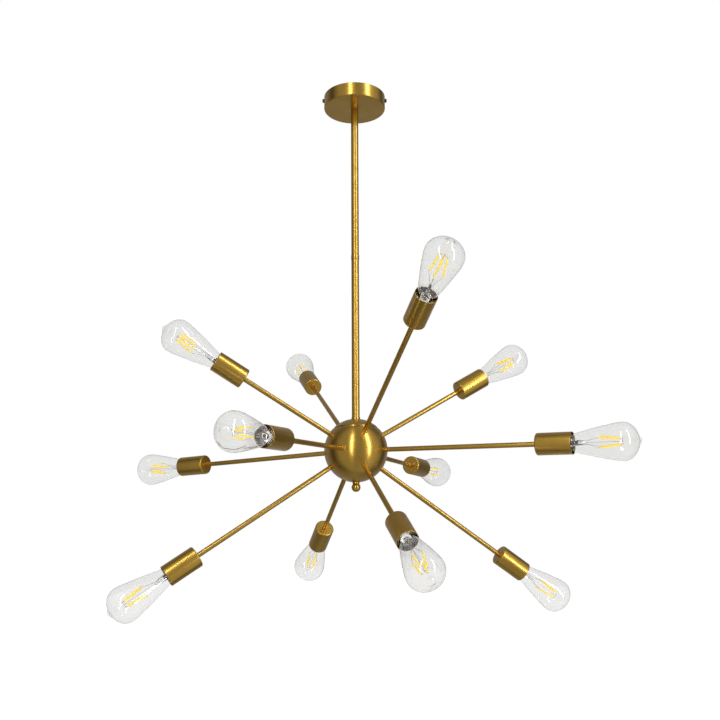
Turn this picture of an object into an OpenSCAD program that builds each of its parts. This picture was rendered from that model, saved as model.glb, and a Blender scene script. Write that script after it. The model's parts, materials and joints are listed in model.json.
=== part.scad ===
// Twelve-arm ball chandelier: ceiling canopy, two-piece stem, round hub with an
// upper, a middle and a lower ring of four arms, and a lamp cup with a screw-in
// pear-shaped filament bulb at the end of each arm.
// Millimetres. The origin is the centre of the ceiling bracket's top face; the
// lamp hangs down from it along -Z, and +X runs along the bracket.

/* [Canopy] */
// Outer diameter of the canopy
canopy_d = 125; // [118:1:180]
// Height of the canopy's side
canopy_h = 27; // [22:0.5:45]
// Thickness of the canopy's spun sheet
canopy_wall = 1.4; // [0.8:0.1:2.5]
// Outer radius of the canopy's lower edge
canopy_edge = 2.2; // [1:0.1:6]
// Distance from the ceiling down to the side screws
screw_drop = 7; // [6:0.5:10]
// Diameter of a side screw's head
screw_head_d = 8; // [6:0.5:12]
// How far a side screw's head stands out
screw_head_h = 3.6; // [2:0.1:8]
// Thread diameter of the side screws and of the ground screw
screw_d = 4; // [3:0.5:5]

/* [Ceiling bracket] */
// Width of the bracket strip
bracket_w = 25; // [16:1:36]
// Thickness of the bracket strip
bracket_t = 2; // [1.5:0.1:3]
// Length of the tabs turned down at its ends
tab_drop = 14; // [12:0.5:18]
// Distance between the middles of the two ceiling slots
slot_spacing = 88.9; // [70:0.1:92]
// End-to-end length of a slot
slot_length = 13; // [6:0.5:16]
// Width of a slot
slot_w = 4.6; // [3.5:0.1:6]
// Diameter of the hole in the bracket's middle
bracket_hole_d = 10; // [8:0.5:14]

/* [Stem] */
// Outer diameter of the stem tubes
stem_d = 15; // [12.5:0.1:20]
// Visible length of each stem tube
stem_len = 315; // [120:1:900]
// Diameter of the collar between the two tubes
coupler_d = 16; // [13.5:0.1:24]
// Visible height of that collar
coupler_h = 9; // [4:0.5:25]
// Diameter of the bushing on top of the hub
bushing_d = 16.5; // [13.5:0.1:24]
// Height of that bushing
bushing_h = 4; // [2:0.5:12]
// Diameter of the hollow threaded rods inside the stem and the hub
thread_d = 10; // [8:0.5:11]
// Bore of those rods, which the wires pass through
thread_bore = 7; // [6.2:0.1:7.5]
// How far a threaded rod reaches into a stem tube
thread_grip = 14; // [8:1:40]

/* [Hub] */
// Outer diameter of the hub ball
hub_d = 120; // [95:1:200]
// Thickness of the hub's shell
hub_wall = 1.5; // [1:0.1:3]
// Latitude of the seam between the hub's cap and its bowl
seam_latitude = 45; // [42:1:55]
// Diameter of the finial's ball
finial_d = 17; // [12:0.5:30]
// Diameter of the finial's neck
finial_neck_d = 13.4; // [12.5:0.1:18]
// Height of the finial's neck
finial_neck_h = 3.2; // [2:0.1:10]
// Diameter of the insulated terminal block inside the hub
block_d = 32; // [26:1:40]
// Height of the terminal block
block_h = 34; // [30:1:44]

/* [Arms] */
// Outer diameter of the arm tubes
arm_d = 9; // [7.5:0.1:11]
// Wall of the arm tubes
arm_wall = 1; // [0.6:0.1:1.2]
// Visible length of a long arm
long_arm = 290; // [120:1:600]
// Visible length of a short arm
short_arm = 190; // [100:1:500]
// How far an arm reaches into the hub
arm_in_hub = 10; // [8:0.5:14]
// Angle of the upper arms above level
upper_rise = 30; // [25:0.5:32]
// Angle of the middle arms above level
middle_rise = -1.5; // [-4:0.5:4]
// Angle of the lower arms above level
lower_rise = -33.5; // [-45:0.5:-28]
// Turn of the upper and lower arms about the stem
ring_turn = -71.75; // [-180:0.25:180]
// Turn of the middle arms from the upper ones
middle_turn = 44; // [38:1:52]
// Width across the flats of the nuts on the arms
arm_nut_af = 14; // [13:0.5:16]
// Thickness of those nuts
arm_nut_t = 4; // [2.5:0.1:5]

/* [Lamp cups] */
// Outer diameter of a lamp cup
cup_d = 38.5; // [36.5:0.1:50]
// Length of a lamp cup
cup_len = 62; // [56:0.5:72]
// Wall of the lamp cup
cup_wall = 1; // [0.6:0.1:1.6]
// Thickness of the cup's closed end
cup_floor = 1.5; // [1:0.1:3]
// Radius of the rounded edge at the closed end
cup_edge = 2.2; // [1:0.1:5]

/* [Lamp holders] */
// Outer diameter of the holder's insulating body
holder_d = 33; // [31.5:0.1:34.5]
// Height of that body
holder_h = 42; // [40:0.5:46]
// Diameter of the boss that screws onto the arm
boss_d = 14; // [13:0.5:20]
// Height of the boss
boss_h = 6; // [5:0.5:10]
// Thickness of the holder's sheet metal screw shell
holder_shell_t = 0.4; // [0.3:0.05:0.6]
// Diameter of the centre contact
contact_d = 8; // [5:0.5:12]

/* [Bulbs] */
// Diameter over the thread of the bulb's base
base_d = 25.9; // [25.4:0.1:26.3]
// Height of the base with its contact
base_len = 27; // [25:0.5:28]
// Largest diameter of the glass
glass_d = 64; // [50:1:80]
// Length of the whole bulb
bulb_len = 146; // [130:1:170]
// Thickness of the glass
glass_t = 1; // [0.6:0.1:1.4]
// Diameter of the glass where it leaves the base
neck_d = 27; // [26:0.5:30]
// Height of the rounded dome beyond the widest point
dome_h = 26; // [18:0.5:32]
// Length of the small sealed tip on the dome
tip_h = 4; // [2:0.5:6]
// Diameter of the sealed tip
tip_d = 6; // [4:0.2:9]
// Length of one filament stick
filament_len = 38; // [26:1:42]
// Diameter of one filament stick
filament_d = 2.8; // [1:0.1:3.5]
// Circle of the filaments' ends near the base
filament_low_d = 22; // [14:0.5:26]
// Circle of the filaments' ends near the tip
filament_high_d = 13; // [8:0.5:22]

/* [Clearances] */
// Radial gap between fixed pieces that fit in each other
fit = 0.1; // [0.05:0.05:0.2]
// Gap between a bulb and what stays still
gap = 0.4; // [0.3:0.05:0.6]
// Diameter over the insulation of a lead wire
wire_d = 1.8; // [1.2:0.1:2]

/* [Hidden] */
$fn = 96;
ARMS_PER_RING = 4;
ARM_COUNT = 12;

canopy_r = canopy_d / 2;
canopy_in = canopy_r - canopy_wall;
hub_r = hub_d / 2;
hub_in = hub_r - hub_wall;
thread_r = thread_d / 2;
bore_r = thread_bore / 2;
rod_nut_af = thread_d + 4;
rod_nut_t = 5;
arm_r = arm_d / 2;
wire_r = wire_d / 2;
screw_r = screw_d / 2;

// The flat seats ground on the hub for the bushing and for the finial.
seat_r = max(bushing_d, finial_neck_d) / 2 + 0.4;
hub_seat = sqrt(pow(hub_r, 2) - pow(seat_r, 2));
stem_top = -canopy_h;
coupler_top = stem_top - stem_len;
lower_top = coupler_top - coupler_h;
lower_end = lower_top - stem_len;
hub_z = lower_end - bushing_h - hub_seat;
seam_z = hub_r * sin(seam_latitude);

// The bracket's tabs stand inside the canopy, clear of its round wall.
tab_x = sqrt(pow(canopy_in, 2) - pow(bracket_w / 2, 2)) - 1.3;

// Heights inside a lamp cup, from the outside of its closed end.
arm_nut_z = cup_floor;
boss_z = cup_floor + arm_nut_t + 0.5;
holder_z = boss_z + boss_h;
arm_past_floor = holder_z - 2;
contact_z = holder_z + 12;
bulb_z = contact_z + 5;
holder_top = holder_z + holder_h;
holder_shell_in = base_d / 2 + gap;
holder_shell_out = holder_shell_in + holder_shell_t;
holder_shell_z = bulb_z + 2;

// Shape of the bulb, from the end of its contact.
glass_r = glass_d / 2;
neck_r = neck_d / 2;
tip_r = tip_d / 2;
flare_z = base_len + 0.3;
wide_z = bulb_len - tip_h - dome_h;
shell_wall = 0.35;
plug_r = base_d / 2 - shell_wall - 0.3;
plug_z = base_len - 8;
// The power that bends the straight flare into the round belly.
FLARE_POWER = 1.25;

// The glass mount inside the bulb and the wires on it.
mount_foot_z = plug_z + 2;
mount_top_z = base_len + 28;
filament_z = base_len + 48;
post_r = 0.4;
support_r = 0.3;
MOUNT_NECK_R = 5.5;
MOUNT_PINCH_R = 3;

// Leads in the canopy and in the hub.
lead_offset = 1.3;
supply_ring = bore_r - wire_r - 0.6;
lead_drop = 10;
lead_reach = 33;
connector_r = 4;
connector_x = 24;
connector_len = 16;
ground_x = -16;
ground_y = 6;
ground_head_r = 4.5;
ground_head_h = 2.4;
ground_wire_z = -(bracket_t + wire_r + 0.1);

function ring_of(i) = floor(i / ARMS_PER_RING);
function place_of(i) = i % ARMS_PER_RING;
function rise(i) = [upper_rise, middle_rise, lower_rise][ring_of(i)];
function turn(i) =
    ring_turn + place_of(i) * 360 / ARMS_PER_RING + (ring_of(i) == 1 ? middle_turn : 0);
// Long and short arms take turns; the lower ring starts with a short one.
function is_long(i) = (place_of(i) % 2 == 0) != (ring_of(i) == 2);
function reach(i) = hub_r + (is_long(i) ? long_arm : short_arm);
function two_digits(n) = str(n < 10 ? "0" : "", n);

// Node names: one base, one glass and one filament set for each bulb.
BULB_NODES = [
    for (i = [0:ARM_COUNT - 1]) for (piece = ["base", "glass", "filaments"])
        str("bulb_", two_digits(i + 1), "_", piece)
];

BRASS = [0.62, 0.48, 0.22];
STEEL = [0.70, 0.70, 0.72];

// Puts its children on arm i, with +Z outwards and r from the hub's centre.
module on_arm(i, r) {
    translate([0, 0, hub_z])
        rotate([0, 90 - rise(i), turn(i)])
            translate([0, 0, r])
                children();
}

// A straight tube along +Z.
module tube(outer, inner, length) {
    difference() {
        cylinder(r = outer, h = length);
        translate([0, 0, -1])
            cylinder(r = inner, h = length + 2);
    }
}

// A hexagon nut along +Z, by its width across the flats.
module hex_nut(flats, bore, thick) {
    difference() {
        cylinder(r = flats / 2 / cos(30), h = thick, $fn = 6);
        translate([0, 0, -1])
            cylinder(r = bore, h = thick + 2);
    }
}

// Half profile of a round cup that opens upwards, with a rounded lower edge.
module cup_profile(radius, height, wall, floor_t, edge, hole) {
    difference() {
        union() {
            translate([0, edge])
                square([radius, height - edge]);
            square([radius - edge, edge]);
            translate([radius - edge, edge])
                circle(r = edge);
        }
        translate([-1, floor_t])
            square([radius - wall + 1, height]);
        translate([-1, -1])
            square([hole + 1, floor_t + 2]);
        translate([-radius, -1])
            square([radius, height + 2]);
    }
}

module canopy() {
    color(BRASS)
        difference() {
            translate([0, 0, -canopy_h])
                rotate_extrude()
                    cup_profile(canopy_r, canopy_h, canopy_wall, canopy_wall,
                                canopy_edge, thread_r + fit);
            for (side = [0, 180])
                rotate([0, 0, side])
                    translate([canopy_in - 2, 0, -screw_drop])
                        rotate([0, 90, 0])
                            cylinder(r = screw_r + 2 * fit, h = canopy_wall + 4);
        }
}

// One turned-down tab with its tapped hole, on the +X side.
module bracket_tab() {
    difference() {
        translate([tab_x - bracket_t, -bracket_w / 2, -tab_drop])
            cube([bracket_t, bracket_w, tab_drop]);
        translate([tab_x - bracket_t - 1, 0, -screw_drop])
            rotate([0, 90, 0])
                cylinder(r = screw_r + fit / 2, h = bracket_t + 2);
    }
}

module ceiling_slot() {
    half = (slot_length - slot_w) / 2;
    for (x = [-half, half])
        translate([x, 0, 0])
            cylinder(r = slot_w / 2, h = bracket_t + 2);
    translate([-half, -slot_w / 2, 0])
        cube([2 * half, slot_w, bracket_t + 2]);
}

module ceiling_bracket() {
    color(STEEL) {
        difference() {
            translate([-tab_x, -bracket_w / 2, -bracket_t])
                cube([2 * tab_x, bracket_w, bracket_t]);
            translate([0, 0, -bracket_t - 1]) {
                cylinder(r = bracket_hole_d / 2, h = bracket_t + 2);
                translate([slot_spacing / 2, 0, 0])
                    ceiling_slot();
                translate([-slot_spacing / 2, 0, 0])
                    ceiling_slot();
                translate([ground_x, ground_y, 0])
                    cylinder(r = screw_r + fit / 2, h = bracket_t + 2);
            }
        }
        bracket_tab();
        rotate([0, 0, 180])
            bracket_tab();
    }
}

module canopy_screws() {
    color(BRASS)
        for (side = [0, 180])
            rotate([0, 0, side])
                translate([0, 0, -screw_drop])
                    rotate([0, 90, 0]) {
                        translate([0, 0, tab_x - bracket_t - 2])
                            cylinder(r = screw_r, h = canopy_r - tab_x + bracket_t + 3);
                        translate([0, 0, canopy_r + 0.1])
                            cylinder(r = screw_head_d / 2, h = screw_head_h);
                    }
}

module ground_screw() {
    color("green")
        translate([ground_x, ground_y, 0]) {
            translate([0, 0, -bracket_t - wire_d - 1])
                cylinder(r = screw_r, h = bracket_t + wire_d + 1);
            translate([0, 0, -bracket_t - wire_d - 0.2 - ground_head_h])
                cylinder(r = ground_head_r, h = ground_head_h);
        }
}

module stem_nipple() {
    color(STEEL)
        translate([0, 0, stem_top - thread_grip])
            tube(thread_r, bore_r, thread_grip + canopy_wall + rod_nut_t + 3);
}

module rod_nuts() {
    // Where a nut's corners meet the inside of the round shell.
    nut_seat = sqrt(pow(hub_in, 2) - pow(rod_nut_af / 2 / cos(30), 2)) - fit / 2;
    heights = [
        stem_top + canopy_wall,
        hub_z + nut_seat - rod_nut_t,
        hub_z - nut_seat
    ];
    color(STEEL)
        for (z = heights)
            translate([0, 0, z])
                hex_nut(rod_nut_af, thread_r + fit / 2, rod_nut_t);
}

module stem_tube(top) {
    color(BRASS)
        translate([0, 0, top - stem_len])
            tube(stem_d / 2, thread_r + fit, stem_len);
}

module stem_upper() {
    stem_tube(stem_top);
}

module stem_lower() {
    stem_tube(lower_top);
}

module stem_coupler() {
    color(BRASS)
        difference() {
            union() {
                translate([0, 0, lower_top])
                    cylinder(r = coupler_d / 2, h = coupler_h);
                translate([0, 0, lower_top - thread_grip])
                    cylinder(r = thread_r, h = coupler_h + 2 * thread_grip);
            }
            translate([0, 0, lower_top - thread_grip - 1])
                cylinder(r = bore_r, h = coupler_h + 2 * thread_grip + 2);
        }
}

module hub_bushing() {
    color(BRASS)
        translate([0, 0, hub_z + hub_seat])
            tube(bushing_d / 2, thread_r + fit, bushing_h);
}

// The whole hollow ball, about the hub's centre, with its seats and rod holes.
module hub_ball() {
    difference() {
        sphere(r = hub_r);
        sphere(r = hub_in);
        translate([0, 0, -hub_r - 1])
            cylinder(r = thread_r + fit, h = hub_d + 2);
        translate([-hub_r, -hub_r, hub_seat])
            cube([hub_d, hub_d, hub_r]);
        translate([-hub_r, -hub_r, -hub_seat - hub_r])
            cube([hub_d, hub_d, hub_r]);
    }
}

module hub_cap() {
    // Radius of the shell's inside at the seam, which the lip drops into.
    lip_r = sqrt(pow(hub_in, 2) - pow(seam_z, 2)) - 0.3;
    color(BRASS)
        translate([0, 0, hub_z]) {
            intersection() {
                hub_ball();
                translate([-hub_r, -hub_r, seam_z])
                    cube([hub_d, hub_d, hub_r]);
            }
            intersection() {
                translate([0, 0, seam_z - 5])
                    tube(lip_r, lip_r - 1.4, 6.5);
                sphere(r = hub_r - 0.3);
            }
        }
}

module hub_bowl() {
    color(BRASS)
        difference() {
            translate([0, 0, hub_z])
                difference() {
                    hub_ball();
                    translate([-hub_r, -hub_r, seam_z])
                        cube([hub_d, hub_d, hub_r]);
                }
            for (i = [0:ARM_COUNT - 1])
                on_arm(i, hub_in - 5)
                    cylinder(r = arm_r + fit, h = hub_wall + 10);
        }
}

module hub_rod() {
    top = hub_seat + bushing_h + thread_grip;
    color(STEEL)
        translate([0, 0, hub_z - hub_seat - 4.5])
            tube(thread_r, bore_r, top + hub_seat + 4.5);
}

module finial() {
    ball_z = -(hub_seat + finial_neck_h + finial_d / 2 - 1.8);
    color(BRASS)
        translate([0, 0, hub_z])
            difference() {
                union() {
                    translate([0, 0, -hub_seat - finial_neck_h])
                        cylinder(r = finial_neck_d / 2, h = finial_neck_h);
                    translate([0, 0, ball_z])
                        sphere(r = finial_d / 2);
                }
                translate([0, 0, -hub_seat - 5])
                    cylinder(r = thread_r + fit, h = 6);
            }
}

module arms(long) {
    color(BRASS)
        for (i = [0:ARM_COUNT - 1])
            if (is_long(i) == long)
                on_arm(i, hub_r - arm_in_hub)
                    tube(arm_r, arm_r - arm_wall,
                         arm_in_hub + reach(i) - hub_r + arm_past_floor);
}

module long_arms() {
    arms(true);
}

module short_arms() {
    arms(false);
}

module arm_nuts() {
    nut_corner = arm_nut_af / 2 / cos(30);
    nut_seat = sqrt(pow(hub_in, 2) - pow(nut_corner, 2)) - fit / 2;
    color(STEEL)
        for (i = [0:ARM_COUNT - 1]) {
            on_arm(i, nut_seat - arm_nut_t)
                hex_nut(arm_nut_af, arm_r + fit / 2, arm_nut_t);
            on_arm(i, reach(i) + arm_nut_z)
                hex_nut(arm_nut_af, arm_r + fit / 2, arm_nut_t);
        }
}

module cups() {
    color(BRASS)
        for (i = [0:ARM_COUNT - 1])
            on_arm(i, reach(i))
                rotate_extrude()
                    cup_profile(cup_d / 2, cup_len, cup_wall, cup_floor, cup_edge,
                                arm_r + fit);
}

// Insulating body: a boss on the arm's end and a deep cup for the screw shell.
module lamp_holder() {
    difference() {
        union() {
            translate([0, 0, boss_z])
                cylinder(r = boss_d / 2, h = boss_h);
            translate([0, 0, holder_z])
                cylinder(r = holder_d / 2, h = holder_h);
        }
        translate([0, 0, boss_z - 1])
            cylinder(r = arm_r + fit, h = arm_past_floor - boss_z + 1);
        translate([0, 0, contact_z])
            cylinder(r = holder_shell_out - 2, h = holder_h);
        translate([0, 0, holder_shell_z])
            cylinder(r = holder_shell_out, h = holder_h);
        for (side = [-1, 1])
            translate([side * lead_offset, 0, boss_z])
                cylinder(r = wire_r + fit, h = contact_z - boss_z + 1);
    }
}

module lamp_holders() {
    color("ivory")
        for (i = [0:ARM_COUNT - 1])
            on_arm(i, reach(i))
                lamp_holder();
}

module holder_shells() {
    color(BRASS)
        for (i = [0:ARM_COUNT - 1])
            on_arm(i, reach(i) + holder_shell_z)
                tube(holder_shell_out, holder_shell_in, holder_top - holder_shell_z - 0.5);
}

module holder_contacts() {
    color(BRASS)
        for (i = [0:ARM_COUNT - 1])
            on_arm(i, reach(i) + contact_z + 3)
                cylinder(r = contact_d / 2, h = bulb_z - contact_z - 3 - gap);
}

// The two leads of arm i, grown by extra where they are cut out of a block.
module arm_leads(i, extra) {
    start = (block_d / 2 - 3) / cos(rise(i));
    for (side = [-1, 1])
        on_arm(i, start)
            translate([side * lead_offset, 0, 0])
                cylinder(r = wire_r + extra, h = reach(i) + contact_z - start);
}

module terminal_block() {
    color("ivory")
        difference() {
            translate([0, 0, hub_z - block_h / 2])
                tube(block_d / 2, thread_r + fit, block_h);
            for (i = [0:ARM_COUNT - 1])
                arm_leads(i, fit);
        }
}

// A lead up the stem, then across the canopy at height bend_z to [x, y].
module supply_lead(angle, bend_z, x, y) {
    foot = [supply_ring * cos(angle), supply_ring * sin(angle)];
    across = [x - foot[0], y - foot[1]];
    translate([foot[0], foot[1], hub_z])
        cylinder(r = wire_r, h = bend_z - hub_z);
    translate([foot[0], foot[1], bend_z]) {
        sphere(r = wire_r);
        rotate([0, 90, atan2(across[1], across[0])])
            cylinder(r = wire_r, h = norm(across));
    }
}

module wires() {
    // The ground lead stops beside the screw's shank, under its head.
    away = [ground_x, ground_y - supply_ring] / norm([ground_x, ground_y - supply_ring]);
    stop = [ground_x, ground_y] - away * (screw_r + 0.3);
    color("dimgray") {
        for (i = [0:ARM_COUNT - 1])
            arm_leads(i, 0);
        supply_lead(0, -lead_drop, lead_reach, 0);
        supply_lead(180, -lead_drop, -lead_reach, 0);
        supply_lead(90, ground_wire_z, stop[0], stop[1]);
    }
}

module wire_connectors() {
    color("orange")
        for (side = [0, 180])
            rotate([0, 0, side])
                translate([connector_x, 0, -lead_drop])
                    rotate([0, 90, 0])
                        difference() {
                            cylinder(r = connector_r, h = connector_len);
                            translate([0, 0, -1])
                                cylinder(r = wire_r + fit, h = lead_reach - connector_x + 1.5);
                        }
}

// Half outline of the base: contact, insulator and sheet metal screw shell.
module base_profile() {
    shell_r = base_d / 2;
    polygon([
        [0, 0], [4, 0], [5, 1.2], [5, 2], [11, 5.5], [shell_r, 6.5],
        [shell_r, base_len], [shell_r - shell_wall, base_len],
        [shell_r - shell_wall, plug_z - 1], [0, plug_z - 1]
    ]);
}

module bulb_base(i) {
    color(STEEL)
        on_arm(i, reach(i) + bulb_z)
            rotate_extrude()
                base_profile();
}

// Points of the flare and the dome, inwards from the outside by t.
function flare_points(t) = [
    for (u = [0:0.1:0.9])
        [
            neck_r - t + (glass_r - neck_r) * (1 - pow(1 - u, FLARE_POWER)),
            flare_z + u * (wide_z - flare_z)
        ]
];
function dome_points(t, last) = [
    for (a = [0:9:last]) [(glass_r - t) * cos(a), wide_z + (dome_h - t) * sin(a)]
];
// Points of the small sealed tip, as a round end on a short neck.
function tip_points() = [
    for (a = [0:18:90]) [tip_r * cos(a), bulb_len - tip_r + tip_r * sin(a)]
];

module bulb_glass(i) {
    outside = concat(
        [[plug_r, plug_z], [plug_r, flare_z]],
        flare_points(0), dome_points(0, 81), tip_points()
    );
    inside = concat(
        [[plug_r - glass_t, plug_z], [plug_r - glass_t, flare_z]],
        flare_points(glass_t), dome_points(glass_t, 90)
    );
    last = len(inside) - 1;
    color([0.85, 0.9, 0.9, 0.35])
        on_arm(i, reach(i) + bulb_z)
            rotate_extrude()
                polygon(concat(outside, [for (k = [0:last]) inside[last - k]]));
}

// A round wire of radius r between two points.
module rod_between(a, b, r) {
    way = b - a;
    translate(a)
        rotate([0, acos(way[2] / norm(way)), atan2(way[1], way[0])])
            cylinder(r = r, h = norm(way), $fn = 24);
}

module bulb_filaments(i) {
    low = filament_low_d / 2;
    high = filament_high_d / 2;
    lean = asin((low - high) / filament_len);
    high_z = filament_z + filament_len * cos(lean);
    color("gold")
        on_arm(i, reach(i) + bulb_z) {
            rotate_extrude()
                polygon([
                    [0, mount_foot_z], [plug_r - glass_t - 0.3, mount_foot_z],
                    [MOUNT_NECK_R, mount_foot_z + 8], [MOUNT_NECK_R, mount_top_z - 8],
                    [MOUNT_PINCH_R, mount_top_z], [0, mount_top_z]
                ]);
            translate([0, 0, mount_top_z - 1])
                cylinder(r = post_r, h = high_z + 4 - mount_top_z, $fn = 24);
            for (a = [45:90:315])
                rotate([0, 0, a]) {
                    rod_between([2, 0, mount_top_z - 1], [low, 0, filament_z], support_r);
                    rod_between([0, 0, high_z + 2.5], [high, 0, high_z], support_r);
                    rod_between([low, 0, filament_z], [high, 0, high_z], filament_d / 2);
                }
        }
}

canopy();
ceiling_bracket();
canopy_screws();
ground_screw();
stem_nipple();
rod_nuts();
stem_upper();
stem_coupler();
stem_lower();
hub_bushing();
hub_cap();
hub_bowl();
hub_rod();
finial();
long_arms();
short_arms();
arm_nuts();
cups();
lamp_holders();
holder_shells();
holder_contacts();
terminal_block();
wires();
wire_connectors();
for (i = [0:ARM_COUNT - 1]) {
    bulb_base(i);
    bulb_glass(i);
    bulb_filaments(i);
}
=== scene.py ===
"""Dresses the twelve-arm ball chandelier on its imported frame.

Every piece is a surface worked out with numpy: half outlines turned about an axis, screw
threads as waves on them, and wires carried along paths. Each is built upright at the origin,
keeps those upright coordinates as its "local" attribute for its finish, and is then placed
along its arm. Sizes are in metres.
"""

from __future__ import annotations

import json
import logging
import math
from dataclasses import dataclass, field
from enum import Enum

import bpy
import numpy as np
from mathutils import Matrix, Vector

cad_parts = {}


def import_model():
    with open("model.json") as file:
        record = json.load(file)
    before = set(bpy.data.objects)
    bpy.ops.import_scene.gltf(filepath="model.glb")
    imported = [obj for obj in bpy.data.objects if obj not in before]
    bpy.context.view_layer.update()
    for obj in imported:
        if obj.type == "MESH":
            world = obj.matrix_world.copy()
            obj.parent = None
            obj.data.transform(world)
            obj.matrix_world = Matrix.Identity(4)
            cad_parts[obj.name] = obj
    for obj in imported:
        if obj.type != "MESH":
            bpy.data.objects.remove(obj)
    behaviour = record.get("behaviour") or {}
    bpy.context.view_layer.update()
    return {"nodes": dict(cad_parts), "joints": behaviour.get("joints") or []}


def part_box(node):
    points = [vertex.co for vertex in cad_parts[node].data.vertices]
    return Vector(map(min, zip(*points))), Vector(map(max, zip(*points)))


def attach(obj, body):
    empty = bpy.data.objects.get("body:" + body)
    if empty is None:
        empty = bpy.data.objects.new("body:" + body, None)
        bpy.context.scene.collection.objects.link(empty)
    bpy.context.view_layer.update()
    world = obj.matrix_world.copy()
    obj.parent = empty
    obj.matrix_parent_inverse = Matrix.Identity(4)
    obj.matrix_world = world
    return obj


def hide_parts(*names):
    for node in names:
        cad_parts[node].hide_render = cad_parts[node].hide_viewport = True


LOG = logging.getLogger("chandelier")
MM = 0.001
FIXTURE = "fixture"
THREAD_PITCH = 3.629 * MM
# From the outside of a cup's closed end to the end of its bulb's contact.
BULB_SEAT = 29 * MM
# Gap between a fixed piece and the hole round it.
FIT = 0.1 * MM


# ---------------------------------------------------------------- surfaces


@dataclass
class Surface:
    """A mesh as whole arrays: its points, its four-sided faces, and its points upright."""

    points: np.ndarray
    quads: np.ndarray
    local: np.ndarray

    @classmethod
    def grid(cls, points: np.ndarray, wrap_rows: bool = False) -> Surface:
        """Joins a grid of points into faces.

        Row r and column c of the grid meet their neighbours r + 1 and c + 1; columns always
        close on themselves, and rows do so when asked.

        Args:
            points: Array of rows, columns and coordinates.
            wrap_rows: Whether the last row joins the first.

        Returns:
            The surface.
        """
        rows, columns = points.shape[:2]
        number = np.arange(rows * columns).reshape(rows, columns)
        last = rows if wrap_rows else rows - 1
        here = number[:last]
        above = np.roll(number, -1, axis=0)[:last]
        quads = np.stack(
            [here, np.roll(here, -1, axis=1), np.roll(above, -1, axis=1), above], axis=-1
        )
        flat = points.reshape(-1, 3)
        return cls(flat, quads.reshape(-1, 4), flat.copy())

    @classmethod
    def joined(cls, parts: list[Surface]) -> Surface:
        """Puts several surfaces into one.

        Args:
            parts: The surfaces.

        Returns:
            One surface that holds them all.
        """
        starts = np.cumsum([0] + [len(part.points) for part in parts[:-1]])
        return cls(
            np.concatenate([part.points for part in parts]),
            np.concatenate([part.quads + at for part, at in zip(parts, starts)]),
            np.concatenate([part.local for part in parts]),
        )

    def moved(self, place: Place) -> Surface:
        """The same surface, put in its place."""
        return Surface(place.apply(self.points), self.quads, self.local)

    def faces(self) -> tuple[np.ndarray, list[tuple[int, ...]]]:
        """Merges points that meet, and drops the edges that vanish with them.

        Returns:
            For each kept point its number in this surface, and the faces by kept point.
        """
        cells = np.round(self.points * 1e7).astype(np.int64)
        _, kept, place = np.unique(cells, axis=0, return_index=True, return_inverse=True)
        quads = place.reshape(-1)[self.quads]
        new = quads != np.roll(quads, 1, axis=1)
        sides = new.sum(axis=1)
        full = [tuple(quad) for quad in quads[sides == 4].tolist()]
        thirds = quads[sides == 3][new[sides == 3]].reshape(-1, 3)
        return kept, full + [tuple(third) for third in thirds.tolist()]


@dataclass(frozen=True)
class Place:
    """Where an upright piece stands: its foot and its axis."""

    foot: tuple[float, float, float] = (0.0, 0.0, 0.0)
    axis: tuple[float, float, float] = (0.0, 0.0, 1.0)

    def apply(self, points: np.ndarray) -> np.ndarray:
        """Turns upright points about the side axis onto this one, and moves them to the foot.

        Up goes to the axis, and sideways stays level, so that what is in line with the level
        direction on one arm is so on all of them.

        Args:
            points: Array of upright points.

        Returns:
            The placed points.
        """
        up = np.array(self.axis) / np.linalg.norm(self.axis)
        level = np.cross([0.0, 0.0, 1.0], up)
        size = np.linalg.norm(level)
        side = level / size if size > 1e-6 else np.array([0.0, 1.0, 0.0])
        front = np.cross(side, up)
        return points @ np.stack([front, side, up]) + np.array(self.foot)


def rounded(
    corners: list[tuple[float, float]] | np.ndarray,
    radius: float,
    steps: int = 4,
    loop: bool = True,
) -> np.ndarray:
    """Softens every corner of an outline.

    Each corner P gives way to the parabola (1-t)^2 A + 2 t (1-t) P + t^2 B, where A and B lie
    a radius away from P towards its neighbours, or less where an edge is short.

    Args:
        corners: Radius and height of each corner, counter-clockwise.
        radius: How far from the corner the curve starts.
        steps: Points on each curve.
        loop: Whether the outline closes; if not, its ends stay as they are.

    Returns:
        Array of radius and height.
    """
    at = np.array(corners, float)

    def towards(near: np.ndarray) -> np.ndarray:
        way = near - at
        size = np.linalg.norm(way, axis=1, keepdims=True)
        return at + way / np.maximum(size, 1e-9) * np.minimum(radius, 0.45 * size)

    start, end = towards(np.roll(at, 1, axis=0)), towards(np.roll(at, -1, axis=0))
    t = np.linspace(0.0, 1.0, steps)[None, :, None]
    curve = (1 - t) ** 2 * start[:, None] + 2 * t * (1 - t) * at[:, None] + t**2 * end[:, None]
    if not loop:
        curve[0], curve[-1] = at[0], at[-1]
    return curve.reshape(-1, 2)


def turned(outline: np.ndarray, sides: int = 64, loop: bool = True) -> Surface:
    """Turns a half outline about the upright axis.

    The point at height z and radius r goes to (r cos a, r sin a, z) for every angle a.

    Args:
        outline: Array of radius and height, counter-clockwise.
        sides: How many angles there are.
        loop: Whether the outline closes; if not, both its ends lie on the axis.

    Returns:
        The surface.
    """
    angle = np.arange(sides) * 2 * np.pi / sides
    radius, height = outline[:, 0, None], outline[:, 1, None]
    grid = np.stack(
        [radius * np.cos(angle), radius * np.sin(angle), height + 0 * angle], axis=-1
    )
    return Surface.grid(grid, wrap_rows=loop)


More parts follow.
